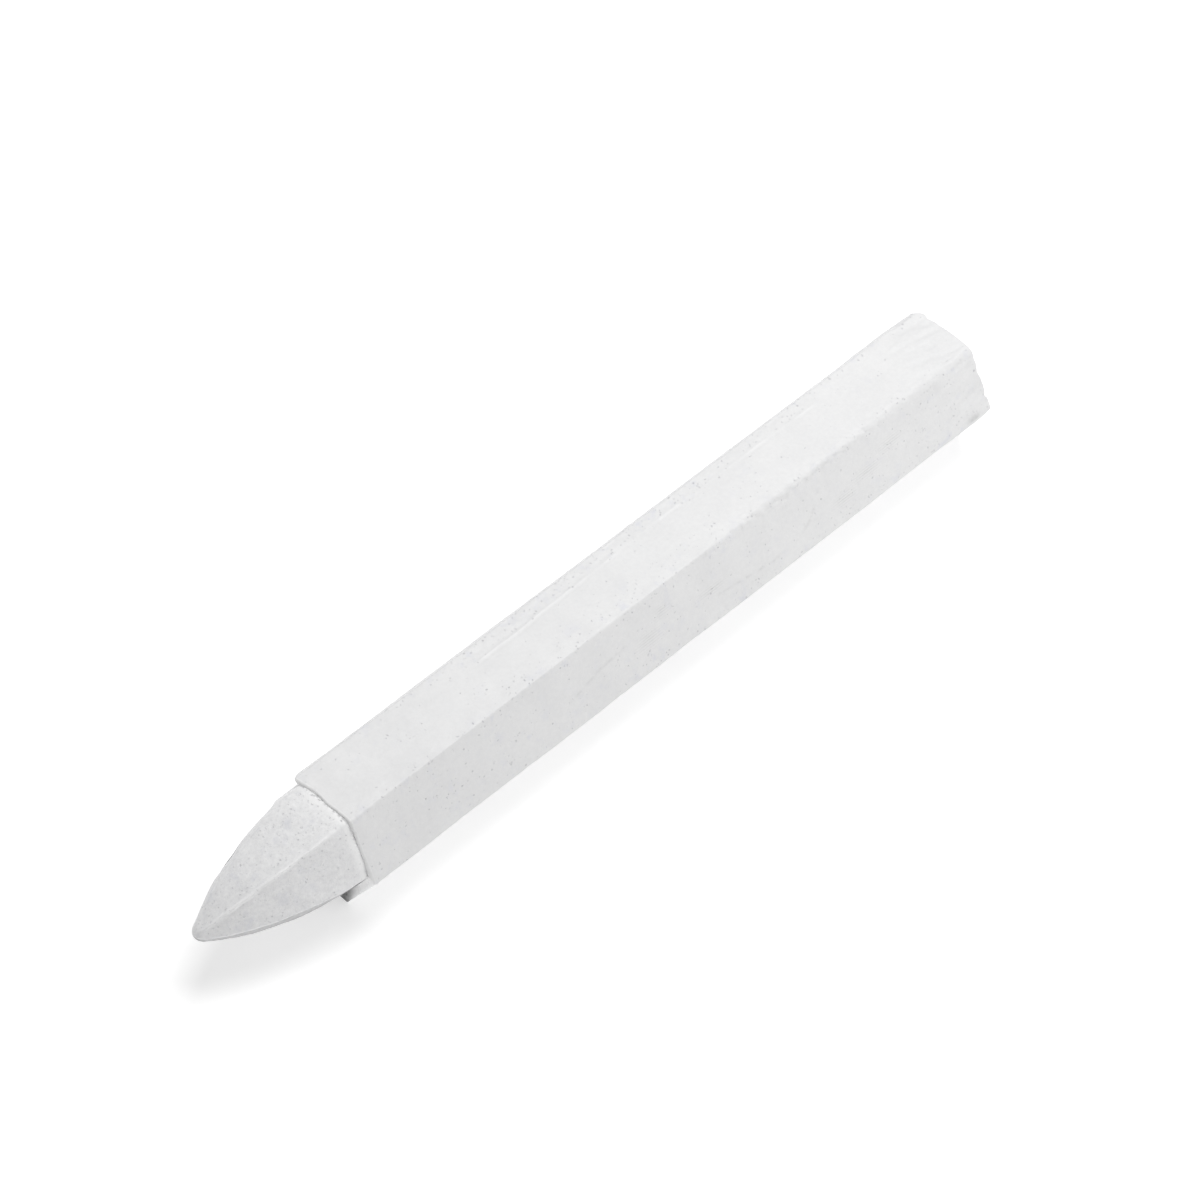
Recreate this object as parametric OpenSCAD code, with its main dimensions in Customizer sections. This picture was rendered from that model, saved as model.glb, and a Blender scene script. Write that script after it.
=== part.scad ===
// Hexagonal marking crayon lying on one of its flats, with its moulded point towards +X.
// A thin hexagonal casing wraps the crayon from its rear end to the shoulder. The marking core
// fills the casing and runs on past its rim as a six-sided point with curved faces.
// The origin is at the middle of the crayon's length, on the surface that it lies on.

/* [Casing] */
// Distance between opposite flats of the casing
casing_across_flats = 14; // [12:0.5:18]
// Length of the casing from its rear end to its front rim
casing_length = 97; // [60:1:120]
// Thickness of the casing's wall
casing_wall = 1.0; // [0.5:0.1:1.4]
// How far the casing's six long edges are worn back from sharp corners
casing_edge_wear = 0.08; // [0.04:0.02:0.3]

/* [Point] */
// Length of the point from the casing's front rim to the nose
point_length = 18; // [14:0.5:24]
// How far each face of the point bulges out from a straight taper
point_bulge = 1.0; // [0.5:0.05:1.4]
// Distance between opposite faces at the nose, before its tip is rounded
nose_across_faces = 1.1; // [0.8:0.1:1.6]
// Radius of the rounding on the nose
nose_radius = 1.2; // [1:0.1:1.5]

/* [Hidden] */

// The white of a wax and chalk mix, a little greyer where the core is bare
CASING_COLOUR = [0.90, 0.90, 0.90];
CORE_COLOUR = [0.84, 0.84, 0.85];

// Facets on the nose's rounding, and on the large arcs of the casing and the point
NOSE_FACETS = 48;
ARC_FACETS = 240;

SIDES = 6;
FACE_STEP = 360 / SIDES;

total_length = casing_length + point_length;
shoulder_x = total_length / 2 - point_length;
rear_x = -total_length / 2;
axis_height = casing_across_flats / 2;

casing_corner_distance = casing_across_flats / 2 / cos(FACE_STEP / 2);
core_across_flats = casing_across_flats - 2 * casing_wall;
core_corner_distance = core_across_flats / 2 / cos(FACE_STEP / 2);

// Each face of the point is an arc that starts at the core's flat and ends at the nose. The chord
// joins those two ends, and the arc's radius follows from the chord and the bulge.
point_start = [0, core_across_flats / 2];
point_end = [point_length, nose_across_faces / 2];
chord = point_end - point_start;
chord_length = norm(chord);
arc_radius = (pow(chord_length / 2, 2) + pow(point_bulge, 2)) / (2 * point_bulge);
outward = [-chord.y, chord.x] / chord_length;
arc_centre = (point_start + point_end) / 2 - outward * (arc_radius - point_bulge);

// The nose's rounding meets a steeper cone where the two are tangent. The cone stays outside the
// point's faces, so only the last part of the point is rounded.
NOSE_CONE_ANGLE = 45;
nose_centre = point_length - nose_radius;
nose_tangent = [
    nose_radius * sin(NOSE_CONE_ANGLE),
    nose_centre + nose_radius * cos(NOSE_CONE_ANGLE)
];
cone_height = core_corner_distance / tan(NOSE_CONE_ANGLE);

// Turns a shape that stands along +Z so that it points along +X, with its own X along Y
module along_x() {
    rotate([90, 0, 90]) children();
}

// A hexagon with flats at its top and bottom
module hexagon(across_flats) {
    circle(r = across_flats / 2 / cos(FACE_STEP / 2), $fn = SIDES);
}

// Outline of the casing: a hexagon whose corners are worn back to arcs about its axis
module casing_outline() {
    intersection() {
        hexagon(casing_across_flats);
        circle(r = casing_corner_distance - casing_edge_wear, $fn = ARC_FACETS);
    }
}

// Side outline of one pair of opposite faces: the straight shank, then the two arcs of the point
module core_side_outline() {
    union() {
        translate([-casing_length, -core_across_flats / 2])
            square([casing_length, core_across_flats]);
        intersection() {
            translate(arc_centre)
                circle(r = arc_radius, $fn = ARC_FACETS);
            translate([arc_centre.x, -arc_centre.y])
                circle(r = arc_radius, $fn = ARC_FACETS);
            translate([0, -core_across_flats / 2])
                square([point_length, core_across_flats]);
        }
    }
}

// The slab between one pair of opposite faces, wide enough to reach past the core's corners
module face_pair_slab(i) {
    rotate([FACE_STEP * i, 0, 0])
        rotate([90, 0, 0])
            linear_extrude(height = 3 * core_corner_distance, center = true)
                core_side_outline();
}

// Everything that the nose's rounding leaves standing, as half of its outline about the axis
module nose_envelope_outline() {
    union() {
        intersection() {
            translate([0, nose_centre])
                circle(r = nose_radius, $fn = NOSE_FACETS);
            translate([0, nose_centre])
                square([nose_radius, nose_radius]);
        }
        polygon([
            [0, -casing_length],
            [nose_tangent.x + core_corner_distance, -casing_length],
            [nose_tangent.x + core_corner_distance, nose_tangent.y - cone_height],
            nose_tangent,
            [0, nose_tangent.y]
        ]);
    }
}

// Hexagonal jacket, open at both ends, which the core fills
module casing() {
    color(CASING_COLOUR)
        translate([rear_x, 0, axis_height])
            along_x()
                linear_extrude(height = casing_length)
                    difference() {
                        casing_outline();
                        hexagon(core_across_flats);
                    }
}

// Marking core: a hexagonal shank inside the casing and the point in front of it
module core() {
    color(CORE_COLOUR)
        translate([shoulder_x, 0, axis_height])
            intersection() {
                face_pair_slab(0);
                face_pair_slab(1);
                face_pair_slab(2);
                along_x()
                    rotate_extrude($fn = ARC_FACETS)
                        nose_envelope_outline();
            }
}

casing();
core();
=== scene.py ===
"""Looks of the hexagonal marking crayon: a satin white casing round a paler, pitted marking core.

The crayon lies along X with its point towards +X and stands on z = 0. Shapes are worked out in
millimetres and turned into metres when a mesh is made. Angles go round the X axis from +Y
towards +Z, so the top flat faces 90 degrees and the long edge nearest the camera is at 60.
"Across" is a distance over a flat from its middle, positive towards the flat's next edge.
"""

import math
from collections import namedtuple

import bpy
import numpy as np
from mathutils import Matrix, Vector, noise


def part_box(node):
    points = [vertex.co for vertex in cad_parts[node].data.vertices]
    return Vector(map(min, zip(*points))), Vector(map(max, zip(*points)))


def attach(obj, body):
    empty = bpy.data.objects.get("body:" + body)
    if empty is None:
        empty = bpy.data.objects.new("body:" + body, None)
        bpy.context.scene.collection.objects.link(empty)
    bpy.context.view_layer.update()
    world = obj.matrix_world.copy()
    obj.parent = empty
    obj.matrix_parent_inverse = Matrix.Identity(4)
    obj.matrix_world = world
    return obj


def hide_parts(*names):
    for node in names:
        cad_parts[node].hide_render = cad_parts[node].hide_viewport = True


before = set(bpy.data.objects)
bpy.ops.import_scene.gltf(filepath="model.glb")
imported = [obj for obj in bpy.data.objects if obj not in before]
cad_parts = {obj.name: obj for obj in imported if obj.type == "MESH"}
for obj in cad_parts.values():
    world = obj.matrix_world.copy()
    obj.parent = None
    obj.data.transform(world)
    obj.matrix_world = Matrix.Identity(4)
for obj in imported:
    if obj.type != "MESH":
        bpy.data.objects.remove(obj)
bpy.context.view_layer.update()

MM = 0.001

# The shapes are placed from these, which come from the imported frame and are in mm. Marks and wear
# along the casing are placed by x in the same frame.
casing_lo, casing_hi = (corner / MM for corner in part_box("casing"))
core_lo, core_hi = (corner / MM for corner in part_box("core"))
REAR_X = casing_lo.x
SHOULDER_X = casing_hi.x
NOSE_X = core_hi.x
AXIS_Z = (casing_lo.z + casing_hi.z) / 2
CASING_APOTHEM = (casing_hi.z - casing_lo.z) / 2
CORE_APOTHEM = (core_hi.z - core_lo.z) / 2
WALL = CASING_APOTHEM - CORE_APOTHEM
CORNER_Y_LIMIT = casing_hi.y

SIDES = 6
TURN = 2 * math.pi / SIDES
COS_HALF = math.cos(TURN / 2)
HALF_FLAT = CASING_APOTHEM * math.tan(TURN / 2)

# The long edges and the flats are counted from +Y towards +Z, and a flat follows its edge
NEAR_EDGE, FAR_EDGE = 1, 3
FRONT_FLAT, TOP_FLAT = 0, 1


# ---------------------------------------------------------------- small helpers

def smooth(start, end, value):
    """0 at start, 1 at end and a smooth step between them. start may be the larger one."""
    t = min(max((value - start) / (end - start), 0.0), 1.0)
    return t * t * (3 - 2 * t)


def window(low, high, fade, value):
    """1 between low and high, fading to 0 over the distance fade outside them."""
    return smooth(low - fade, low, value) * (1 - smooth(high, high + fade, value))


def bump(centre, width, value):
    """A bell curve of height 1."""
    return math.exp(-(((value - centre) / width) ** 2))


def grain(x, y, z, size, seed=0.0):
    """Smooth noise from about -1 to 1 whose lumps are about size mm across."""
    return noise.noise(Vector((x / size + seed, y / size - seed, z / size + 2 * seed))) * 1.6


def layered(x, y, z, layers):
    """Sum of grains. Each layer is (height in mm, size of its lumps in mm, seed)."""
    return sum(height * grain(x, y, z, size, seed) for height, size, seed in layers)


def interpolate(points, value):
    """Value of a broken line through (position, value) points in rising order."""
    return float(np.interp(value, [p[0] for p in points], [p[1] for p in points]))


# ---------------------------------------------------------------- hexagonal sections

class Section:
    """Samples round a hexagon with rounded corners, the same number in every ring.

    Each corner has an arc and each flat has steps of its own, so a ring keeps its samples on the
    same corner or flat while its size and its corner radii change.
    """

    ARC_STEPS = 6

    def __init__(self, flat_steps):
        self.corner, self.angle, self.share = [], [], []
        for k in range(SIDES):
            for j in range(self.ARC_STEPS + 1):
                self.corner.append(k)
                self.angle.append(k * TURN + TURN * (j / self.ARC_STEPS - 0.5))
                self.share.append(0.0)
            for j in range(1, flat_steps[k]):
                self.corner.append(k)
                self.angle.append((k + 0.5) * TURN)
                self.share.append(j / flat_steps[k])
        self.corner = np.array(self.corner)
        self.angle = np.array(self.angle)
        self.share = np.array(self.share)
        self.normals = np.stack([np.cos(self.angle), np.sin(self.angle)], 1)
        self.count = len(self.angle)
        on_flat = self.share > 0
        self.on_flat = on_flat[:, None]
        # The number of the flat that each sample is on, or None on an edge
        self.flats = [int(k) if on else None for k, on in zip(self.corner, on_flat)]

    def ring(self, apothem, radii):
        """(count, 2) points in the section's plane, about the axis."""
        radii = np.minimum(np.asarray(radii, float), apothem)
        k = self.corner
        here = self._arc_point(apothem, radii, k, self.angle)
        flat_angle = (k + 0.5) * TURN
        start = self._arc_point(apothem, radii, k, flat_angle)
        end = self._arc_point(apothem, radii, (k + 1) % SIDES, flat_angle)
        return np.where(self.on_flat, start + (end - start) * self.share[:, None], here)

    def _arc_point(self, apothem, radii, k, angle):
        out = (apothem - radii[k]) / COS_HALF
        centre = np.stack([out * np.cos(k * TURN), out * np.sin(k * TURN)], 1)
        return centre + radii[k][:, None] * np.stack([np.cos(angle), np.sin(angle)], 1)


# What is painted on the meshes' points: where pinholes crowd, where short parallel scratches lie,
# how dark a smear and the painted shade are, and how much paler and smoother the wax is rubbed,
# with painted light on the ledge and lip and painted highlights along the raised lines
Marks = namedtuple("Marks", "wear comb smudge burnish", defaults=(0.0, 0.0, 0.0, 0.0))
MOST_WEAR = 1.5


def grid_mesh(name, rings, marked, closed):
    """A mesh from rings of equal length: closed joins the last ring to the first, otherwise both
    ends are closed to a single point. marked holds the marks of each point of each ring."""
    count = len(rings[0])
    points = np.concatenate(rings)
    faces = []
    total = len(rings)
    for i in range(total if closed else total - 1):
        a, b = i * count, ((i + 1) % total) * count
        for j in range(count):
            n = (j + 1) % count
            faces.append((a + j, a + n, b + n, b + j))
    if not closed:
        first, last = len(points), len(points) + 1
        points = np.concatenate([points, [rings[0].mean(0), rings[-1].mean(0)]])
        end = (total - 1) * count
        for j in range(count):
            n = (j + 1) % count
            faces.append((n, j, first))
            faces.append((end + j, end + n, last))
    mesh = bpy.data.meshes.new(name)
    mesh.from_pydata([tuple(p) for p in points * MM], [], faces)
    for key, values in zip(Marks._fields, np.concatenate(marked).T):
        if not closed:
            values = np.append(values, [values[:count].mean(), values[-count:].mean()])
        layer = mesh.attributes.new(key, "FLOAT", "POINT")
        layer.data.foreach_set("value", values.astype(np.float32))
    mesh.validate()
    mesh.polygons.foreach_set("use_smooth", [True] * len(mesh.polygons))
    mesh.update()
    piece = bpy.data.objects.new(name, mesh)
    bpy.context.scene.collection.objects.link(piece)
    return piece


# ---------------------------------------------------------------- casing: edges and ends

EDGE_RADIUS = 0.34
SHARPEST_EDGE = 0.2
SHARPEST_INSIDE = 0.12

# The near long edge is rubbed down over the rear third of the crayon, and softer at its rear end
RUBBED_FROM, RUBBED_TO = -50.0, -17.5
RUBBED_RADIUS = 0.42
REAR_SOFTENING = 0.55

# The grains of the six edges are this far apart, so that no two edges are alike
EDGE_APART = 7.0

# The rims' rounding reaches this far down the end face, and this far along the skin
FRONT_RIM_DEPTH, FRONT_RIM_LENGTH = 0.50, 0.34
REAR_RIM_DEPTH, REAR_RIM_LENGTH = 0.24, 0.24
RIM_STEPS = 5
FILLET = 0.10
RIM_LUMP, RIM_LUMP_SIZE, RIM_LUMP_FADE = 0.05, 0.7, 0.3

# The front rim is broken away round the far edge. The break deepens between the first two angles
# and ends between the last two, in degrees.
BREAK_DEPTH = 3.9
BREAK_START, BREAK_FULL, BREAK_END, BREAK_GONE = 122.0, 158.0, 186.0, 212.0

# Dents of the front rim and of the rear rim, as (angle in degrees, its width, depth in mm). They
# are a dip in the top flat, two dents by the near edge, and at the rear the knocked-off corner
# behind the top flat and the nicks of the front flat.
FRONT_DENTS = ((100.0, 9.0, 0.16), (49.0, 2.0, 0.12), (44.0, 1.6, 0.08))
REAR_DENTS = ((121.0, 4.0, 0.80), (108.0, 3.0, 0.30), (40.0, 5.0, 0.25), (14.0, 3.0, 0.30))

# The front rim's corner behind the top flat stands a little forward
FORWARD_CORNER = (120.0, 7.0, 0.25)


def edge_radius(x, k):
    """Corner radius of one long edge at x, larger where the edge is rubbed down."""
    row = EDGE_APART * k
    radius = EDGE_RADIUS + 0.10 * grain(x, row, 0.0, 5.0) + 0.05 * grain(x, row, 3.0, 1.3)
    if k == NEAR_EDGE:
        rubbed = window(RUBBED_FROM, RUBBED_TO, 5.0, x)
        radius += rubbed * (RUBBED_RADIUS + 0.25 * grain(x, 1.0, 9.0, 3.0))
        radius += REAR_SOFTENING * smooth(-40.0, -50.0, x)
    # All six edges soften over the last 3 mm
    radius += 0.2 * smooth(-54.5, REAR_X, x)
    return max(radius, SHARPEST_EDGE)


def dents_at(degrees, dents):
    """Depth that the dents have together at an angle, in mm."""
    return sum(depth * bump(centre, width, degrees) for centre, width, depth in dents)


def front_setback(angle):
    """How far the casing's front rim stands back from the shoulder, in mm, round the crayon."""
    degrees = math.degrees(angle) % 360
    y, z = math.cos(angle) * CASING_APOTHEM, math.sin(angle) * CASING_APOTHEM
    wave = 0.10 + 0.07 * grain(y, z, 4.0, 2.6) + 0.03 * grain(y, z, 8.0, 0.8)
    wave += dents_at(degrees, FRONT_DENTS)
    broken = smooth(BREAK_START, BREAK_FULL, degrees)
    broken *= 1 - smooth(BREAK_END, BREAK_GONE, degrees)
    ragged = 1 + 0.07 * grain(degrees / 9, 0.0, 0.0, 1.0)
    ragged += 0.02 * grain(degrees / 3, 3.0, 0.0, 1.0)
    forward = dents_at(degrees, (FORWARD_CORNER,))
    return max(wave, 0.02) - forward + BREAK_DEPTH * broken * ragged


def rear_setback(angle):
    """How far the ragged rear rim stands in from the crayon's rear end, in mm."""
    degrees = math.degrees(angle) % 360
    y, z = math.cos(angle) * CASING_APOTHEM, math.sin(angle) * CASING_APOTHEM
    ragged = 0.03 + 0.12 * grain(y, z, 11.0, 1.9) + 0.05 * grain(y, z, 15.0, 0.7)
    return max(ragged + dents_at(degrees, REAR_DENTS), 0.0)


# ---------------------------------------------------------------- casing: relief of the skin

# The skin's own unevenness, its bumps along the edges, and its wrinkles near the rear end
SKIN_LAYERS = ((0.045, 17.0, 0.0), (0.022, 5.5, 3.1), (0.007, 1.4, 5.7))
EDGE_STRIP = 1.2
EDGE_LAYER = (0.016, 0.9, 4.4)
WRINKLES_FROM, WRINKLES_FULL = -44.0, -55.0
WRINKLE_HEIGHT = 0.09
WRINKLE_SLANT = 0.18
WRINKLE_LAYER = (0.03, 2.2, 8.8)

# A faint raised line along the top flat, as (x, across)
RAISED_LINE = (
    (-40.0, 2.36), (-37.5, 2.31), (-31.0, 2.46), (-24.6, 2.45), (-18.0, 2.55), (-12.0, 2.52),
    (-5.5, 2.30), (0.4, 2.18), (5.0, 2.12), (9.0, 1.90), (11.5, 1.98), (14.4, 1.92),
)
LINE_FROM, LINE_TO, LINE_FADE = -37.0, 13.5, 2.5
LINE_WHOLE_FROM, LINE_WHOLE_TO, LINE_WHOLE_FADE = 0.5, 16.0, 2.0
LINE_LEAST = 0.18
LINE_HEIGHT = 0.05
LINE_WIDTH = 0.14

# A shallow groove runs along the line's near side
GROOVE_OFFSET = 0.26
GROOVE_WIDTH = 0.11
GROOVE_SHARE = 0.5

# The skin is sunk by this much and cut at the plain hexagon, so that no bump passes it
SKIN_SINK = 0.06


def line_strength(x):
    """How much of the raised line there is at x: all of it in front, and patches further back."""
    patches = LINE_LEAST + (1 - LINE_LEAST) * smooth(-0.15, 0.45, grain(x, 5.0, 0.0, 3.2))
    whole = window(LINE_WHOLE_FROM, LINE_WHOLE_TO, LINE_WHOLE_FADE, x)
    return window(LINE_FROM, LINE_TO, LINE_FADE, x) * max(patches, whole)


def top_flat_relief(x, y, z, across):
    """The raised line with its groove, and the rougher strip beyond the line."""
    line = interpolate(RAISED_LINE, x) + 0.05 * grain(x, 0.0, 0.0, 1.6)
    profile = bump(line, LINE_WIDTH, across)
    profile -= GROOVE_SHARE * bump(line - GROOVE_OFFSET, GROOVE_WIDTH, across)
    beyond = window(LINE_FROM, LINE_TO, LINE_FADE, x) * smooth(line, line + 0.5, across)
    rough = 0.035 * grain(x, y, z, 0.8, 1.9) - 0.010
    return LINE_HEIGHT * line_strength(x) * profile + beyond * rough


def near_edge_pits(x, y, z):
    """Depth of the scuffs all along the near edge, and of the chips where it is rubbed down."""
    near = bump(NEAR_EDGE * TURN, 0.10, math.atan2(z, y))
    if near <= 0.01:
        return 0.0
    rubbed = window(RUBBED_FROM, RUBBED_TO, 2.5, x)
    pits = max(grain(x, y, z, 0.9, 2.7) + 0.15, 0.0) + max(grain(x, y, z, 0.4, 7.1), 0.0)
    return near * (0.02 + 0.09 * rubbed) * pits


def skin_relief(x, point, flat, across):
    """Height of the casing's skin over the plain hexagon, in mm and never above 0. flat is None
    on an edge."""
    y, z = point
    height = layered(x, y, z, SKIN_LAYERS)
    rear = smooth(WRINKLES_FROM, WRINKLES_FULL, x)
    if rear > 0:
        slant = (y if flat == TOP_FLAT else z) + WRINKLE_SLANT * x
        folds = grain(0.22 * x, slant, 0.0, 0.75, 2.3)
        height += rear * (WRINKLE_HEIGHT * folds + layered(x, y, z, (WRINKLE_LAYER,)))
    if flat == TOP_FLAT:
        height += top_flat_relief(x, y, z, across)
    if flat is None or abs(across) > HALF_FLAT - EDGE_STRIP:
        height += layered(x, y, z, (EDGE_LAYER,))
    return min(height - near_edge_pits(x, y, z) - SKIN_SINK, 0.0)


# ---------------------------------------------------------------- casing: marks on the skin

# Patches of short parallel scratches on the front flat: x, across, length, width
COMBS = (
    (-3.3, -0.65, 3.2, 1.6), (-6.0, 1.35, 1.8, 1.1), (-38.0, -0.45, 3.6, 1.2),
    (-42.3, 0.75, 3.2, 1.2), (-34.0, -1.5, 3.0, 1.2), (-13.2, -0.4, 3.4, 0.9),
)

# Faint grey smears along the front flat, as (x, across)
SMEARS = (
    ((-31.0, 1.6), (-30.0, 0.2), (-28.6, -1.0), (-26.7, -1.9), (-22.0, -2.3), (-17.0, -1.7),
     (-13.0, -1.3)),
    ((-0.5, 0.6), (4.0, 0.2), (9.0, -0.9)),
)
SMEAR_WIDTH = 0.16
SMEAR_DARKNESS = 0.18

# A dark smudge low on the front flat by the rear rim, and dark spots under the near edge
SMUDGE_X, SMUDGE_ACROSS, SMUDGE_DARKNESS = -54.7, -3.5, 0.45
SPOTS_FROM, SPOTS_TO, SPOTS_DARKNESS = -36.0, -14.0, 0.13

# How much paler and smoother the raised line is; the paleness is partly a painted highlight along it
LINE_BURNISH_AND_HIGHLIGHT = 0.22


def top_flat_marks(x, across):
    """Wear beyond the raised line and along the near side, and the line's paleness, partly a painted
    highlight.
    """
    beyond = window(LINE_FROM, 17.0, 4.0, x) * smooth(1.9, 2.5, across)
    wear = 0.9 * beyond + 0.8 * bump(-2.7, 1.3, across) * window(-16.0, 16.0, 5.0, x)
    # The line's paleness, partly a painted highlight
    pale = line_strength(x) * bump(interpolate(RAISED_LINE, x), 0.15, across)
    return wear, LINE_BURNISH_AND_HIGHLIGHT * pale


def front_flat_marks(x, across):
    """Wear, scratches and the darkest smear of the flat that faces the camera."""
    wear = 0.35 + 0.4 * bump(-1.2, 1.5, across) * window(-10.0, 34.0, 6.0, x)
    wear += 0.5 * smooth(-46.0, -51.0, x)
    comb = 0.0
    for centre, place, length, width in COMBS:
        comb = max(comb, bump(centre, length / 2, x) * bump(place, width / 2, across))
    smudge = SMUDGE_DARKNESS * bump(SMUDGE_X, 0.9, x) * bump(SMUDGE_ACROSS, 0.35, across)
    for path in SMEARS:
        inside = window(path[0][0], path[-1][0], 0.6, x)
        broken = smooth(-0.5, 0.5, grain(x, 0.0, 0.0, 0.9, 1.1))
        line = bump(interpolate(path, x), SMEAR_WIDTH, across)
        smudge = max(smudge, SMEAR_DARKNESS * inside * broken * line)
    return wear, comb, smudge


def skin_marks(x, flat, across):
    """Marks of the skin at x, on a flat or, where flat is None, on a long edge."""
    from_edge = HALF_FLAT - abs(across) if flat is not None else 0.0
    wear = 0.75 * (1 - smooth(0.2, 1.6, from_edge))
    wear += 0.45 * smooth(-0.1, 0.7, grain(x, across, 3.0 * (flat or 0), 6.0, 7.7))
    comb = smudge = burnish = 0.0
    if flat == TOP_FLAT:
        more_wear, burnish = top_flat_marks(x, across)
        wear += more_wear
    if flat == FRONT_FLAT:
        more_wear, comb, smudge = front_flat_marks(x, across)
        wear += more_wear
    if flat in (FRONT_FLAT, None):
        under_edge = window(SPOTS_FROM, SPOTS_TO, 2.0, x) * bump(HALF_FLAT - 0.5, 0.5, across)
        spots = smooth(0.15, 0.6, grain(x, 2.0, across, 0.55, 3.3))
        smudge = max(smudge, SPOTS_DARKNESS * under_edge * spots)
    return Marks(min(wear, MOST_WEAR), comb, smudge, burnish)


# The ledge at the shoulder is painted light (pale), and painted shade (black) at the near lower edge
LEDGE_WEAR = 0.3
LEDGE_PAINTED_LIGHT = 0.7
LEDGE_PAINTED_SHADE, LEDGE_PAINTED_SHADE_ANGLE, LEDGE_PAINTED_SHADE_SPREAD = 1.25, -62.0, 13.0
REAR_RIM_MARKS = Marks(wear=1.2)


def ledge_marks(angle):
    """Marks of the ledge at an angle. The painted shade also takes the painted light away."""
    # Painted shade: black at the near lower edge of the ledge, where the crevice is
    painted_shade = LEDGE_PAINTED_SHADE * bump(LEDGE_PAINTED_SHADE_ANGLE, LEDGE_PAINTED_SHADE_SPREAD, math.degrees(angle))
    # Painted light: the rest of the ledge is paler
    return Marks(LEDGE_WEAR, 0.0, painted_shade, LEDGE_PAINTED_LIGHT * (1 - painted_shade))


# ---------------------------------------------------------------- the point's shift and crevice

# The point sits a little off the casing's axis at its base, so the ledge is narrower on top. The
# front of the shank and of the casing's bore take part in it, and it fades towards the nose.
POINT_SHIFT = np.array((0.18, 0.56))
SHIFT_FROM, SHIFT_FULL = SHOULDER_X - 9.0, SHOULDER_X - 6.0
SHIFT_FALL = 1.3

# A crevice between the core and the casing, under the near lower edge. The ledge slopes into it.
CREVICE_ANGLE = -56.0
CREVICE_SPREAD = 25.0
CREVICE_DEPTH = 0.7
CREVICE_SLOPE = 0.8


def shank_share(x):
    """How much of the point's shift the shank and the casing's bore have at x."""
    return smooth(SHIFT_FROM, SHIFT_FULL, x)


def core_shift(x):
    """How far the core's section is moved off the axis at x, as (y, z) in mm."""
    towards_nose = max(x - SHOULDER_X, 0.0) / (NOSE_X - SHOULDER_X)
    return POINT_SHIFT * shank_share(x) * (1 - towards_nose ** SHIFT_FALL)


def crevice_share(degrees):
    return bump(CREVICE_ANGLE, CREVICE_SPREAD, degrees)


# ---------------------------------------------------------------- casing: mesh

# Distances between the skin's rings, which are closer together near both ends. The casing stays
# under 200000 triangles, so that its STL is exported whole.
SKIN_STEP = 0.34
END_STEP = 0.12
END_ZONE = 3.0

# Steps across a flat, more of them on the two flats that the camera sees
HIDDEN_FLAT_STEPS, TOP_FLAT_STEPS, FRONT_FLAT_STEPS = 26, 64, 56

# The bore starts this far inside each rim. Its rings are dense over the shifted part.
BORE_INSET = 0.3
BORE_FRONT_SHARE = 0.12


def skin_positions():
    """Places of the skin's rings along the crayon, from 0 at the rear rim to 1 at the front."""
    length = SHOULDER_X - REAR_X
    rear = np.arange(0.0, END_ZONE, END_STEP)
    middle = np.arange(END_ZONE, length - END_ZONE, SKIN_STEP)
    front = np.arange(length - END_ZONE, length, END_STEP)
    return np.concatenate([rear, middle, front, [length]]) / length


def rim_profile(depth, length, rise):
    """(inset, out) of a rim's rings, from the skin inwards. out is measured out of the end, and
    the last rings climb by rise to meet the core."""
    profile = []
    for step in range(1, RIM_STEPS + 1):
        turn = step / RIM_STEPS * math.pi / 2
        profile.append((depth * (1 - math.cos(turn)), -length * (1 - math.sin(turn))))
    for share in (0.0, 0.3, 0.55, 0.8, 1.0):
        turn = share * math.pi / 2
        profile.append((WALL - FILLET * (1 - math.sin(turn)), rise * (1 - math.cos(turn))))
    return profile


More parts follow.
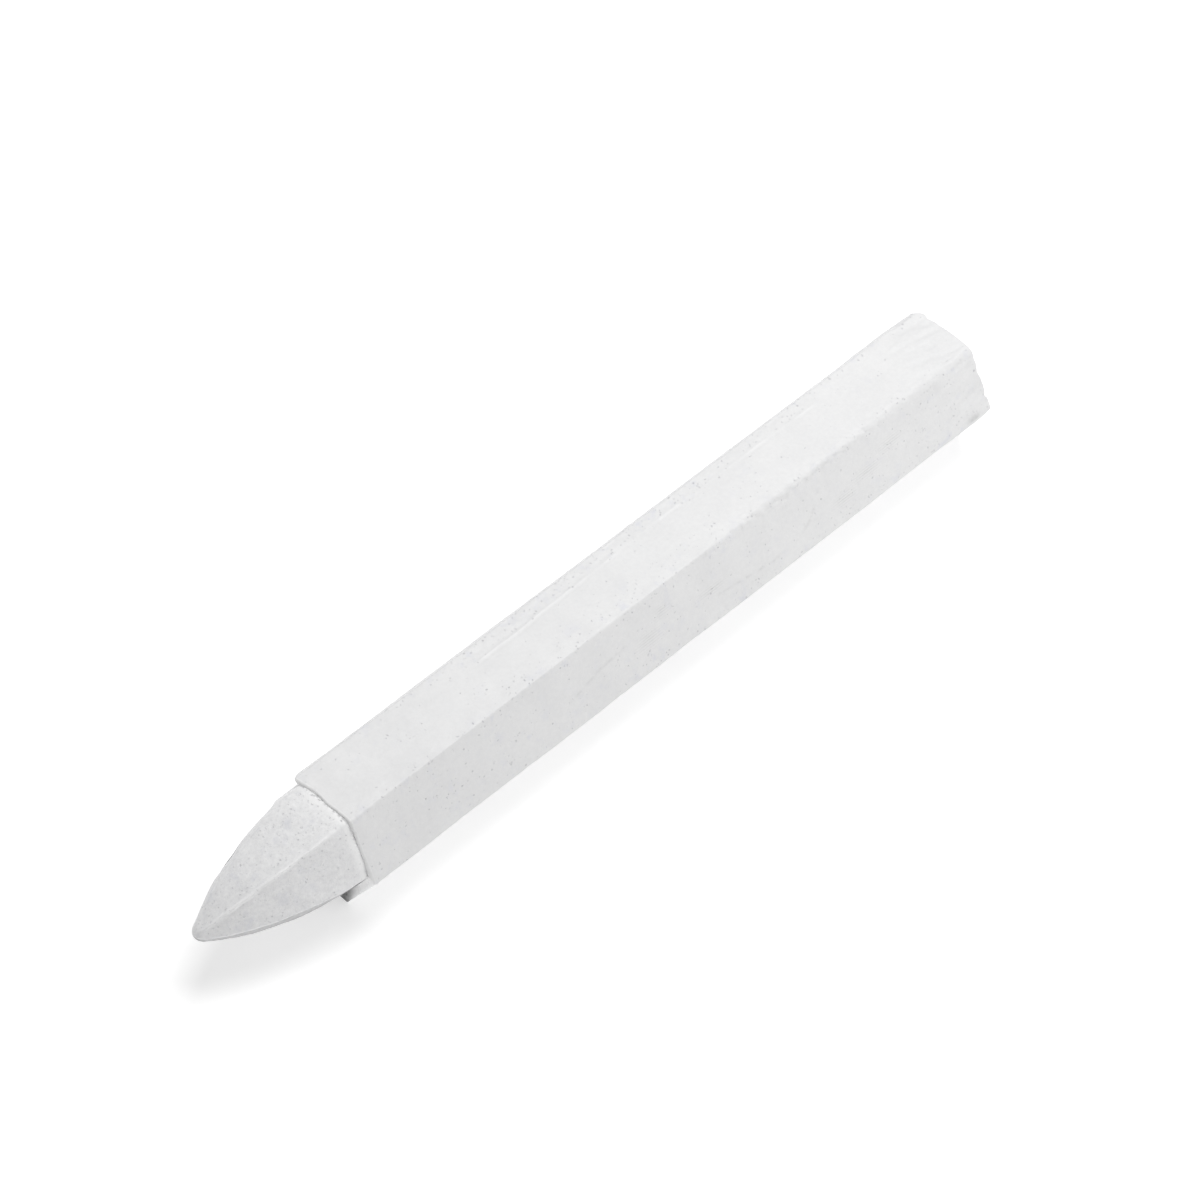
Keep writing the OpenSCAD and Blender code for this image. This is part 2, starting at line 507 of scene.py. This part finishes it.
class CasingRings:
    """Collects the casing's rings and their marks, in the order in which they join."""

    def __init__(self):
        steps = [HIDDEN_FLAT_STEPS] * SIDES
        steps[TOP_FLAT] = TOP_FLAT_STEPS
        steps[FRONT_FLAT] = FRONT_FLAT_STEPS
        self.section = Section(steps)
        plain = self.section.ring(CASING_APOTHEM, [EDGE_RADIUS] * SIDES)
        self.angles = [math.atan2(z, y) for y, z in plain]
        # How much of the point's shift the bore takes, and how far the ledge slopes into the crevice
        self.upper = np.array([smooth(-0.7, 0.0, math.sin(a)) for a in self.angles])
        self.slope = np.array([CREVICE_SLOPE * crevice_share(math.degrees(a))
                               for a in self.angles])
        self.rings, self.marked = [], []

    def across(self, points, j):
        flat = self.section.flats[j]
        if flat is None:
            return HALF_FLAT
        angle = (flat + 0.5) * TURN
        return -points[j][0] * math.sin(angle) + points[j][1] * math.cos(angle)

    def bore_shift(self, x):
        """The bore follows the point's shift over its upper side, and leaves a gap underneath."""
        return np.outer([shank_share(place) for place in x] * self.upper, POINT_SHIFT)

    def add(self, x, apothem, radii, inset, mark=None, shift=None):
        """One ring. x has a value for each sample, and the skin's relief fades with the inset."""
        points = self.section.ring(apothem, radii)
        ring = np.zeros((self.section.count, 3))
        marks = np.zeros((self.section.count, len(Marks._fields)))
        for j, flat in enumerate(self.section.flats):
            across = self.across(points, j)
            height = 0.0
            if inset < WALL:
                height = skin_relief(x[j], points[j], flat, across) * (1 - inset / WALL)
            ring[j] = (x[j], *(points[j] + self.section.normals[j] * height))
            if mark is None:
                marks[j] = skin_marks(x[j], flat, across)
        if mark is not None:
            marks[:] = mark
        if shift is not None:
            ring[:, 1:] += shift
        ring[:, 2] += AXIS_Z
        ring[:, 1] = np.clip(ring[:, 1], -CORNER_Y_LIMIT, CORNER_Y_LIMIT)
        self.rings.append(ring)
        self.marked.append(marks)

    def add_skin(self, rear, front):
        """The outer skin, from the rear rim's rounding to the front rim's."""
        first, last = rear + REAR_RIM_LENGTH, front - FRONT_RIM_LENGTH
        for share in skin_positions():
            nominal = REAR_X + (SHOULDER_X - REAR_X) * share
            radii = [edge_radius(nominal, k) for k in range(SIDES)]
            self.add(first + (last - first) * share, CASING_APOTHEM, radii, 0.0)

    def rim_ring(self, inset, end_radii):
        """Lumps, apothem and corner radii of one ring of a rim. The lumps lie along X."""
        lumps = np.array([RIM_LUMP * grain(inset, 9 * math.cos(a), 9 * math.sin(a), RIM_LUMP_SIZE)
                          for a in self.angles])
        lumps = np.abs(lumps * min(inset / RIM_LUMP_FADE, 1.0))
        return lumps, CASING_APOTHEM - inset, np.maximum(end_radii - inset, SHARPEST_INSIDE)

    def add_front_rim(self, front):
        """The front rim's rounding and the ledge, inwards to the bore."""
        end_radii = np.array([edge_radius(SHOULDER_X, k) for k in range(SIDES)])
        marks = np.array([ledge_marks(a) for a in self.angles])
        for inset, out in rim_profile(FRONT_RIM_DEPTH, FRONT_RIM_LENGTH, FILLET):
            lumps, apothem, radii = self.rim_ring(inset, end_radii)
            x = front + out - self.slope * inset / WALL - lumps
            self.add(x, apothem, radii, inset, marks, self.bore_shift(x) * inset / WALL)

    def add_bore(self, rear, front):
        """The inner wall, from the ledge back to the rear rim."""
        first, last = front - self.slope - BORE_INSET, rear + BORE_INSET
        shares = np.concatenate([np.linspace(0.0, BORE_FRONT_SHARE, 24),
                                 np.linspace(BORE_FRONT_SHARE + 0.01, 1.0, 10)])
        for share in shares:
            x = first + (last - first) * share
            self.add(x, CORE_APOTHEM, [SHARPEST_INSIDE] * SIDES, WALL, Marks(),
                     self.bore_shift(x))

    def add_rear_rim(self, rear):
        """The rear rim, outwards from the bore to the skin."""
        end_radii = np.array([edge_radius(REAR_X, k) for k in range(SIDES)])
        for inset, out in reversed(rim_profile(REAR_RIM_DEPTH, REAR_RIM_LENGTH, 0.0)):
            lumps, apothem, radii = self.rim_ring(inset, end_radii)
            self.add(rear - out + lumps, apothem, radii, inset, REAR_RIM_MARKS)


def make_casing():
    """Closed sleeve: the outer skin, a rounded rim at each end, the ledge and the bore."""
    sleeve = CasingRings()
    front = np.array([SHOULDER_X - front_setback(a) for a in sleeve.angles])
    rear = np.array([REAR_X + rear_setback(a) for a in sleeve.angles])
    sleeve.add_skin(rear, front)
    sleeve.add_front_rim(front)
    sleeve.add_bore(rear, front)
    sleeve.add_rear_rim(rear)
    return grid_mesh("casing_skin", sleeve.rings, sleeve.marked, closed=True)


# ---------------------------------------------------------------- core: plain shape

POINT_BULGE = 1.0
NOSE_APOTHEM = 0.70
NOSE_RADIUS = 1.2
RIDGE_RADIUS = 0.3

# The core is this much smaller all round than the CAD's, so that it keeps clear of the bore
CORE_GAP = 0.01


def point_apothem(x):
    """Distance from the axis to the faces of the point at x, on their bulging arc."""
    along = x - SHOULDER_X
    length = NOSE_X - SHOULDER_X
    if along <= 0:
        return CORE_APOTHEM - CORE_GAP
    fall = CORE_APOTHEM - NOSE_APOTHEM
    chord = math.hypot(length, fall)
    radius = ((chord / 2) ** 2 + POINT_BULGE ** 2) / (2 * POINT_BULGE)
    outward = (fall / chord, length / chord)
    middle = (length / 2, (CORE_APOTHEM + NOSE_APOTHEM) / 2)
    centre = [m - o * (radius - POINT_BULGE) for m, o in zip(middle, outward)]
    arc = centre[1] + math.sqrt(radius ** 2 - (along - centre[0]) ** 2)
    return arc - CORE_GAP


def nose_envelope(x):
    """Largest distance from the axis at x that the rounded nose and its 45 degree cone leave."""
    back = NOSE_X - x
    cone_radius = NOSE_RADIUS * math.sqrt(0.5)
    cone_back = NOSE_RADIUS - cone_radius
    if back < cone_back:
        return math.sqrt(max(NOSE_RADIUS ** 2 - (NOSE_RADIUS - back) ** 2, 0.0))
    return cone_radius + (back - cone_back)


def ridge_radius(x):
    """Corner radius of the core's ridges at x, which grows until the nose is round."""
    apothem = point_apothem(x)
    sharp = apothem / COS_HALF
    needed = (sharp - nose_envelope(x)) / (1 / COS_HALF - 1)
    plain = RIDGE_RADIUS * smooth(NOSE_X + 2.0, NOSE_X - 6.0, x)
    plain += 0.25 * apothem * smooth(NOSE_X - 5.0, NOSE_X, x)
    return min(max(needed, plain, SHARPEST_INSIDE), apothem)


# ---------------------------------------------------------------- core: relief and marks

CORE_LAYERS = ((0.07, 5.0, 2.2), (0.035, 1.7, 6.1), (0.016, 0.6, 9.3))
CORE_SINK = 0.05
CORE_RISE_LIMIT = 0.20

# A thin pale line stands on the near ridge, over its front two thirds; its paleness is partly a
# painted highlight
RIDGE_LINE_FROM, RIDGE_LINE_TO = SHOULDER_X + 3.5, NOSE_X - 2.2
RIDGE_LINE_HEIGHT = 0.22
RIDGE_LINE_WIDTH = 0.19

# The far ridge is worn down, with a flatter spot part of the way along
FAR_WEAR_FROM, FAR_WEAR_TO = SHOULDER_X + 1.0, SHOULDER_X + 16.0
FAR_WEAR_DEPTH = 0.20
FAR_FLAT_X, FAR_FLAT_LENGTH, FAR_FLAT_DEPTH = SHOULDER_X + 8.5, 2.4, 0.16
FAR_WEAR_SPREAD = 0.38

# The upper faces swell where they leave the casing, which keeps the ledge narrow there. Angles
# are in degrees.
SWELL_FROM, SWELL_TO, SWELL_FADE = 15.0, 112.0, 10.0
SWELL_HEIGHT = 0.20
FRONT_SWELL_ANGLE, FRONT_SWELL_SPREAD, FRONT_SWELL_HEIGHT = 30.0, 14.0, 0.10
SWELL_END = SHOULDER_X + 6.0

# The lower faces of the point carry painted shade, fully so past the second of these angles in
# radians
UNDERSIDE_SHADE_FROM, UNDERSIDE_SHADE_FULL = -0.02, -0.22
UNDERSIDE_SHADE_DARKNESS = 0.75

# A paler lip where the core leaves the casing, painted light
LIP_X, LIP_LENGTH, LIP_PAINTED_LIGHT = SHOULDER_X + 0.35, 0.45, 0.9


def beside_near_ridge(x, y, z):
    """Distance round the core from the near ridge's line, which wanders a little."""
    around = math.atan2(z, y) - NEAR_EDGE * TURN
    return around * math.hypot(y, z) + 0.05 * grain(x, 0.0, 0.0, 1.5)


def far_ridge_wear(x, y, z):
    """Depth of the wear round the far ridge, in mm."""
    angle = math.atan2(z, y) % (2 * math.pi)
    depth = FAR_WEAR_DEPTH * window(FAR_WEAR_FROM, FAR_WEAR_TO, 2.5, x)
    depth += FAR_FLAT_DEPTH * bump(FAR_FLAT_X, FAR_FLAT_LENGTH, x)
    return depth * bump(FAR_EDGE * TURN, FAR_WEAR_SPREAD, angle)


def swell_at(x, degrees):
    """Height of the swelling where the point leaves the casing, in mm."""
    swell = SWELL_HEIGHT * window(SWELL_FROM, SWELL_TO, SWELL_FADE, degrees)
    swell += FRONT_SWELL_HEIGHT * bump(FRONT_SWELL_ANGLE, FRONT_SWELL_SPREAD, degrees)
    swell *= smooth(SHOULDER_X - 0.35, SHOULDER_X - 0.1, x)
    return swell * (1 - smooth(SHOULDER_X + 0.5, SWELL_END, x))


def core_relief(x, point):
    """Height of the core's surface over its plain shape, in mm."""
    y, z = point
    degrees = math.degrees(math.atan2(z, y))
    outside = smooth(SHOULDER_X - 0.3, SHOULDER_X + 1.2, x)
    height = layered(x, y, z, CORE_LAYERS)
    along = window(RIDGE_LINE_FROM, RIDGE_LINE_TO, 2.5, x)
    along *= 0.75 + 0.4 * grain(x, 2.0, 0.0, 2.6)
    line = bump(0.0, RIDGE_LINE_WIDTH, beside_near_ridge(x, y, z))
    height += RIDGE_LINE_HEIGHT * along * line
    height -= far_ridge_wear(x, y, z)
    crevice = crevice_share(degrees) * window(SHOULDER_X - 3.0, SHOULDER_X + 0.2, 0.9, x)
    height = min(height - CORE_SINK, CORE_RISE_LIMIT) * outside
    return height + swell_at(x, degrees) - CREVICE_DEPTH * crevice


def core_marks(x, point, flat, across):
    """The core's marks: pinholes crowd towards the nose, the lower faces carry painted shade, and
    the near ridge is paler, partly as a painted highlight.
    """
    y, z = point
    wear = 0.55 + 0.35 * smooth(SHOULDER_X + 4.0, NOSE_X, x)
    wear += 0.4 * smooth(-0.1, 0.6, grain(x, across, 5.0 * (flat or 0), 3.0, 1.3))
    # Painted shade on the point's lower faces
    underside_shade = UNDERSIDE_SHADE_DARKNESS * smooth(UNDERSIDE_SHADE_FROM, UNDERSIDE_SHADE_FULL, math.atan2(z, y))
    # Paler wax along the near ridge's bead, partly a painted highlight
    along = window(SHOULDER_X + 2.5, NOSE_X - 2.0, 2.0, x)
    along *= 0.8 + 0.5 * grain(x, 2.0, 0.0, 2.6)
    line = along * bump(0.0, RIDGE_LINE_WIDTH, beside_near_ridge(x, y, z))
    # Painted light on the lip where the core leaves the casing
    lip = LIP_PAINTED_LIGHT * bump(LIP_X, LIP_LENGTH, x)
    return Marks(min(wear, MOST_WEAR), 0.0, underside_shade, max(line, lip))


# ---------------------------------------------------------------- core: mesh

SHANK_FRONT = SHOULDER_X - 10.0
SHANK_STEP = 0.4
POINT_STEP = 0.2
NOSE_STEPS = 12
HIDDEN_FACE_STEPS, SEEN_FACE_STEPS = 24, 34

# The rear face is slightly hollow and rough
REAR_FACE_X = REAR_X + 0.08
REAR_FACE_RINGS = 26
REAR_HOLLOW = 0.35
REAR_ROUGHNESS = 0.30
REAR_FACE_MARKS = Marks(wear=1.1, smudge=0.11)
SHANK_MARKS = Marks(wear=0.5)


class CoreRings:
    """Collects the core's rings and their marks, from the rear face to the nose."""

    def __init__(self):
        steps = [HIDDEN_FACE_STEPS] * SIDES
        steps[TOP_FLAT] = steps[FRONT_FLAT] = SEEN_FACE_STEPS
        self.section = Section(steps)
        self.rings, self.marked = [], []

    def add(self, x, apothem, radius, relief=1.0, end_relief=0.0, mark=None):
        """One ring. relief scales the surface's own relief, and end_relief is the height of the
        lumps of the rear face, which go into the core along X."""
        points = self.section.ring(apothem, [radius] * SIDES)
        shift = core_shift(x)
        ring = np.zeros((self.section.count, 3))
        marks = np.zeros((self.section.count, len(Marks._fields)))
        for j, flat in enumerate(self.section.flats):
            normal = self.section.normals[j]
            y, z = points[j] + normal * core_relief(x, points[j]) * relief
            lump = 0.5 + 0.5 * grain(y, z, 0.0, 1.9) + 0.25 * grain(y, z, 5.0, 0.6)
            ring[j] = (x + max(end_relief * lump, 0.0), y + shift[0], z + shift[1])
            if mark is None:
                across = points[j][1] * normal[0] - points[j][0] * normal[1]
                marks[j] = core_marks(x, points[j], flat, across)
        if mark is not None:
            marks[:] = mark
        ring[:, 2] += AXIS_Z
        self.rings.append(ring)
        self.marked.append(marks)

    def add_rear_face(self, shank):
        for share in np.linspace(0.03, 0.97, REAR_FACE_RINGS):
            hollow = REAR_HOLLOW * (1 - share ** 2)
            radius = shank * share * (1 - 0.9 * share)
            self.add(REAR_FACE_X + hollow, shank * share, radius, 0.0, REAR_ROUGHNESS,
                     REAR_FACE_MARKS)
        self.add(REAR_FACE_X + 0.1, shank - 0.05, 0.15, 0.0, REAR_ROUGHNESS / 2, REAR_FACE_MARKS)

    def add_shank(self, shank):
        for x in np.linspace(REAR_X + 0.45, SHANK_FRONT, 10):
            self.add(x, shank, SHARPEST_INSIDE, mark=SHANK_MARKS)
        for x in np.arange(SHANK_FRONT + SHANK_STEP, SHOULDER_X, SHANK_STEP):
            radius = SHARPEST_INSIDE + 0.15 * smooth(SHOULDER_X - 5.0, SHOULDER_X, x)
            self.add(x, shank, radius)

    def add_point(self):
        """The point, and the last part of the nose with rings at even turns of its rounding."""
        start = NOSE_X - NOSE_RADIUS
        for x in np.arange(SHOULDER_X, start, POINT_STEP):
            self.add(x, point_apothem(x), ridge_radius(x))
        for step in range(NOSE_STEPS):
            share = step / NOSE_STEPS
            x = start + NOSE_RADIUS * math.sin(share * math.pi / 2)
            apothem = min(point_apothem(x), nose_envelope(x))
            self.add(x, apothem, min(ridge_radius(x), apothem), 1 - 0.6 * share)


def make_core():
    """Closed stick: rough rear face, plain shank inside the casing, and the curved point."""
    shank = CORE_APOTHEM - CORE_GAP
    stick = CoreRings()
    stick.add_rear_face(shank)
    stick.add_shank(shank)
    stick.add_point()
    return grid_mesh("core_stick", stick.rings, stick.marked, closed=False)


# ---------------------------------------------------------------- materials

SCRATCH_PITCH = 0.30
COOL_TINT = (0.68, 0.69, 0.76, 1.0)
# White of rubbed wax, also the painted light on the ledge and lip and the painted highlights along
# the raised lines
BURNISHED_AND_PAINTED_LIGHT = (0.99, 0.99, 0.99, 1.0)
WAX_IOR = 1.44

# How dark a smear, the painted shade and a scratch are beside the wax's own darker tone
SMEAR_AND_PAINTED_SHADE_TONE = 0.25
SCRATCH_SHADE = 0.75

# How much of its own colour each layer brings
COOL_SHARE = 0.33
BURNISH_AND_PAINTED_LIGHT_SHARE = 0.9
SCRATCH_SHARE = 0.40
HOLE_SHARE = 0.9

# How much rougher a pinhole is than the wax round it, and how much smoother burnished wax is
HOLE_ROUGHNESS = 0.2
BURNISH_SMOOTHNESS = 0.22

# Pinholes: cells to the mm, the largest hole's radius as a share of a cell, the share of cells
# with a hole where there is no wear, and how much that share grows for each unit of wear
Pinholes = namedtuple("Pinholes", "cells_per_mm largest keep keep_for_wear")
FINE_HOLES = Pinholes(2.1, 0.26, 0.22, 0.50)
COARSE_HOLES = Pinholes(0.8, 0.13, 0.07, 0.20)
FINE_STRENGTH = 0.55
HOLE_DEPTH = 0.06
SCRATCH_DEPTH = 0.02

# A hole's radius grows this fast with its cell's chance, and its edge fades from this share of it
HOLE_GROWTH = 3.0
HOLE_EDGE = 0.55


class Graph:
    """Short names for making and joining the nodes of one material."""

    def __init__(self, name):
        self.material = bpy.data.materials.new(name)
        self.material.use_nodes = True
        self.tree = self.material.node_tree
        self.shader = self.tree.nodes["Principled BSDF"]

    def node(self, kind, **settings):
        made = self.tree.nodes.new(kind)
        for key, value in settings.items():
            setattr(made, key, value)
        return made

    def join(self, source, target):
        """Feeds a socket from a number, a tuple or another node's output."""
        if isinstance(source, (int, float, tuple)):
            target.default_value = source
        else:
            self.tree.links.new(source, target)

    def math(self, operation, *values, clamp=False):
        made = self.node("ShaderNodeMath", operation=operation, use_clamp=clamp)
        for value, socket in zip(values, made.inputs):
            self.join(value, socket)
        return made.outputs[0]

    def vector(self, operation, *values):
        made = self.node("ShaderNodeVectorMath", operation=operation)
        for value, socket in zip(values, made.inputs):
            self.join(value, socket)
        return made.outputs[0]

    def scaled(self, value, scale):
        made = self.node("ShaderNodeVectorMath", operation="SCALE")
        self.join(value, made.inputs[0])
        self.join(scale, made.inputs["Scale"])
        return made.outputs[0]

    def remap(self, value, low, high, to_low=0.0, to_high=1.0):
        made = self.node("ShaderNodeMapRange", clamp=True)
        for source, key in ((value, "Value"), (low, "From Min"), (high, "From Max"),
                            (to_low, "To Min"), (to_high, "To Max")):
            self.join(source, made.inputs[key])
        return made.outputs["Result"]

    def mix(self, share, first, second):
        made = self.node("ShaderNodeMix", data_type="RGBA")
        self.join(share, made.inputs["Factor"])
        self.join(first, made.inputs[6])
        self.join(second, made.inputs[7])
        return made.outputs[2]

    def attribute(self, name):
        return self.node("ShaderNodeAttribute", attribute_name=name).outputs["Fac"]

    def noise(self, place, scale, detail=2.0, roughness=0.5, output="Fac"):
        made = self.node("ShaderNodeTexNoise")
        self.join(place, made.inputs["Vector"])
        made.inputs["Scale"].default_value = scale
        made.inputs["Detail"].default_value = detail
        made.inputs["Roughness"].default_value = roughness
        return made.outputs[output]

    def pinholes(self, place, holes, amount, wear):
        """0 to 1 inside small round holes. amount scales how many of them there are."""
        keep = self.math("MULTIPLY_ADD", wear, holes.keep_for_wear * amount, holes.keep * amount)
        cells = self.node("ShaderNodeTexVoronoi")
        self.join(place, cells.inputs["Vector"])
        cells.inputs["Scale"].default_value = holes.cells_per_mm
        chance = self.node("ShaderNodeSeparateColor")
        self.join(cells.outputs["Color"], chance.inputs[0])
        above = self.math("SUBTRACT", chance.outputs[0], self.math("SUBTRACT", 1.0, keep))
        growth = HOLE_GROWTH * holes.largest
        radius = self.math("MULTIPLY", self.math("MAXIMUM", above, 0.0), growth)
        radius = self.math("MINIMUM", radius, holes.largest)
        # The tiny additions keep the range from closing where a cell has no hole
        edge = self.math("ADD", self.math("MULTIPLY", radius, HOLE_EDGE), 0.0001)
        outer = self.math("ADD", radius, 0.0002)
        return self.remap(cells.outputs["Distance"], edge, outer, 1.0, 0.0)

    def scratches(self, place, comb):
        """Short scratches side by side across the front flat, only inside the comb patches."""
        separate = self.node("ShaderNodeSeparateXYZ")
        self.join(place, separate.inputs[0])
        up_the_flat = self.math(
            "ADD", self.math("MULTIPLY", separate.outputs["Y"], -math.sin(TURN / 2)),
            self.math("MULTIPLY", separate.outputs["Z"], math.cos(TURN / 2)))
        turns = self.math("MULTIPLY", up_the_flat, 2 * math.pi / SCRATCH_PITCH)
        return self.math("MULTIPLY", self.remap(self.math("SINE", turns), 0.0, 1.0), comb)


def opaque(colour, shade=1.0):
    """RGBA of a colour, darkened by shade."""
    return (*[shade * c for c in colour], 1.0)


def wax_material(name, light, dark, hole_colour, mottle, holes, grain_depth, roughness):
    """Filled wax: two close whites in soft patches, dark pinholes, scratches, smears, paler rubbed
    wax, painted shade, painted light and a fine grain.

    mottle is the share of the fine flecks in the tone, holes scales the number of pinholes, and
    grain_depth is in mm.
    """
    g = Graph(name)
    place = g.scaled(g.node("ShaderNodeTexCoord").outputs["Object"], 1 / MM)
    wear = g.attribute("wear")
    smudge = g.attribute("smudge")
    burnish = g.attribute("burnish")

    # Pinhole outlines are made irregular by moving their coordinates with a fine noise
    wobble = g.vector("SUBTRACT", g.noise(place, 4.5, output="Color"), (0.5, 0.5, 0.5))
    uneven = g.vector("ADD", place, g.scaled(wobble, 0.5))
    fine = g.pinholes(uneven, FINE_HOLES, holes, wear)
    coarse = g.pinholes(uneven, COARSE_HOLES, holes, wear)
    pits = g.math("MAXIMUM", g.math("MULTIPLY", fine, FINE_STRENGTH), coarse)
    strength = g.remap(g.noise(place, 0.9, 1.0), 0.35, 0.65, 0.25, 1.0)
    pits = g.math("MULTIPLY", pits, strength)
    stripes = g.scratches(place, g.attribute("comb"))

    patches = g.remap(g.noise(place, 0.16, 3.0, 0.6), 0.30, 0.70)
    flecks = g.remap(g.noise(place, 2.2, 4.0, 0.75), 0.33, 0.67)
    soft = g.math("MULTIPLY", patches, 1 - mottle)
    tone = g.math("ADD", soft, g.math("MULTIPLY", flecks, mottle))
    colour = g.mix(tone, opaque(light), opaque(dark))
    # Faint cool patches where the wear is heavy
    cool = g.math("MULTIPLY", g.remap(g.noise(uneven, 0.6, 3.0, 0.6), 0.56, 0.70), wear)
    colour = g.mix(g.math("MULTIPLY", cool, COOL_SHARE, clamp=True), colour, COOL_TINT)
    # Smears, and painted shade at the ledge's near lower edge and on the point's lower faces
    shade = g.math("MULTIPLY", smudge, g.remap(flecks, 0.0, 1.0, 0.45, 0.85))
    colour = g.mix(shade, colour, opaque(dark, SMEAR_AND_PAINTED_SHADE_TONE))
    # Paler rubbed wax, with painted light on the ledge and lip and painted highlights along the
    # raised lines
    colour = g.mix(g.math("MULTIPLY", burnish, BURNISH_AND_PAINTED_LIGHT_SHARE, clamp=True), colour, BURNISHED_AND_PAINTED_LIGHT)
    colour = g.mix(g.math("MULTIPLY", stripes, SCRATCH_SHARE), colour, opaque(dark, SCRATCH_SHADE))
    colour = g.mix(g.math("MULTIPLY", pits, HOLE_SHARE), colour, opaque(hole_colour))
    g.join(colour, g.shader.inputs["Base Color"])

    # Surface relief in mm, turned into metres by the bump's distance
    relief = g.math("MULTIPLY", g.noise(place, 3.4, 4.0, 0.7), grain_depth)
    relief = g.math("SUBTRACT", relief, g.math("MULTIPLY", pits, HOLE_DEPTH))
    relief = g.math("SUBTRACT", relief, g.math("MULTIPLY", stripes, SCRATCH_DEPTH))
    bumps = g.node("ShaderNodeBump")
    bumps.inputs["Strength"].default_value = 1.0
    bumps.inputs["Distance"].default_value = MM
    g.join(relief, bumps.inputs["Height"])
    g.join(bumps.outputs["Normal"], g.shader.inputs["Normal"])

    gloss = g.remap(g.noise(place, 0.5, 2.0), 0.3, 0.7, roughness - 0.06, roughness + 0.08)
    gloss = g.math("ADD", gloss, g.math("MULTIPLY", pits, HOLE_ROUGHNESS))
    smoother = g.math("MULTIPLY", burnish, BURNISH_SMOOTHNESS)
    gloss = g.math("SUBTRACT", gloss, smoother, clamp=True)
    g.join(gloss, g.shader.inputs["Roughness"])
    g.shader.inputs["IOR"].default_value = WAX_IOR
    return g.material


def casing_material():
    return wax_material("casing_white", light=(0.84, 0.84, 0.84), dark=(0.76, 0.76, 0.765),
                        hole_colour=(0.34, 0.34, 0.38), mottle=0.5, holes=1.0,
                        grain_depth=0.012, roughness=0.45)


def core_material():
    return wax_material("core_white", light=(0.95, 0.95, 0.95), dark=(0.80, 0.80, 0.81),
                        hole_colour=(0.50, 0.50, 0.53), mottle=0.75, holes=1.6,
                        grain_depth=0.035, roughness=0.6)


# ---------------------------------------------------------------- stage, lights and camera

FLOOR_HALF_SIDE = 3.0
FLOOR_COLOUR = (0.76, 0.76, 0.76, 1.0)
FLOOR_GLOW = 0.45
WORLD_LIGHT = 0.38
WHITE = (1.0, 1.0, 1.0, 1.0)

# Square lights: name, place and aim in mm, side in mm, power in watts
SOFTBOXES = (
    ("key_light", (-110, -35, 338), (-15, 0, 7), 240, 0.83),
    ("rear_fill", (-120, 150, 100), (-28, 0, 7), 140, 0.062),
)

# Camera: direction in degrees from the object, distance and aim in mm, with the aim's height
# taken from the crayon's axis, and a lens in mm for a 36 mm sensor
CAMERA_AZIMUTH = 39.54
CAMERA_ELEVATION = 49.76
CAMERA_ROLL = 5.57
CAMERA_DISTANCE = 648.7
CAMERA_LENS = 180.3
CAMERA_SENSOR = 36.0
CAMERA_AIM = (-5.78, -2.99, -0.49)
CAMERA_CLIP = (0.01, 20.0)


def floor_material():
    """Plain white sweep that glows a little, as a lit studio table does."""
    g = Graph("studio_floor")
    g.shader.inputs["Base Color"].default_value = FLOOR_COLOUR
    g.shader.inputs["Roughness"].default_value = 0.9
    g.shader.inputs["Specular IOR Level"].default_value = 0.0
    g.shader.inputs["Emission Color"].default_value = WHITE
    g.shader.inputs["Emission Strength"].default_value = FLOOR_GLOW
    return g.material


def make_floor():
    mesh = bpy.data.meshes.new("floor")
    half = FLOOR_HALF_SIDE
    corners = [(-half, -half, 0), (half, -half, 0), (half, half, 0), (-half, half, 0)]
    mesh.from_pydata(corners, [], [(0, 1, 2, 3)])
    mesh.materials.append(floor_material())
    floor = bpy.data.objects.new("floor", mesh)
    bpy.context.scene.collection.objects.link(floor)
    return floor


def make_world():
    world = bpy.data.worlds.new("studio")
    world.use_nodes = True
    background = world.node_tree.nodes["Background"]
    background.inputs["Color"].default_value = WHITE
    background.inputs["Strength"].default_value = WORLD_LIGHT
    bpy.context.scene.world = world


def make_softbox(name, place_mm, aim_mm, side_mm, power):
    light = bpy.data.lights.new(name, "AREA")
    light.shape = "SQUARE"
    light.size = side_mm * MM
    light.energy = power
    lamp = bpy.data.objects.new(name, light)
    bpy.context.scene.collection.objects.link(lamp)
    place, aim = Vector(place_mm) * MM, Vector(aim_mm) * MM
    lamp.location = place
    lamp.rotation_euler = (aim - place).to_track_quat("-Z", "Y").to_euler()


def make_camera():
    azimuth, elevation, roll = (math.radians(a) for a in
                                (CAMERA_AZIMUTH, CAMERA_ELEVATION, CAMERA_ROLL))
    back = Vector((math.cos(elevation) * math.cos(azimuth),
                   math.cos(elevation) * math.sin(azimuth), math.sin(elevation)))
    level_right = Vector((0, 0, 1)).cross(back).normalized()
    level_up = back.cross(level_right)
    right = level_right * math.cos(roll) + level_up * math.sin(roll)
    up = back.cross(right)
    aim = Vector((CAMERA_AIM[0], CAMERA_AIM[1], AXIS_Z + CAMERA_AIM[2])) * MM
    data = bpy.data.cameras.new("camera")
    data.sensor_width = CAMERA_SENSOR
    data.lens = CAMERA_LENS
    data.clip_start, data.clip_end = CAMERA_CLIP
    camera = bpy.data.objects.new("camera", data)
    bpy.context.scene.collection.objects.link(camera)
    turn = Matrix((right, up, back)).transposed().to_4x4()
    camera.matrix_world = Matrix.Translation(aim + back * CAMERA_DISTANCE * MM) @ turn
    bpy.context.scene.camera = camera


# ---------------------------------------------------------------- putting it together

make_camera()
make_world()
for softbox in SOFTBOXES:
    make_softbox(*softbox)
bpy.context.scene.view_settings.view_transform = "Standard"

make_floor()

casing = make_casing()
casing.data.materials.append(casing_material())
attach(casing, "root")
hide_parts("casing")

core = make_core()
core.data.materials.append(core_material())
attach(core, "root")
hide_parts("core")
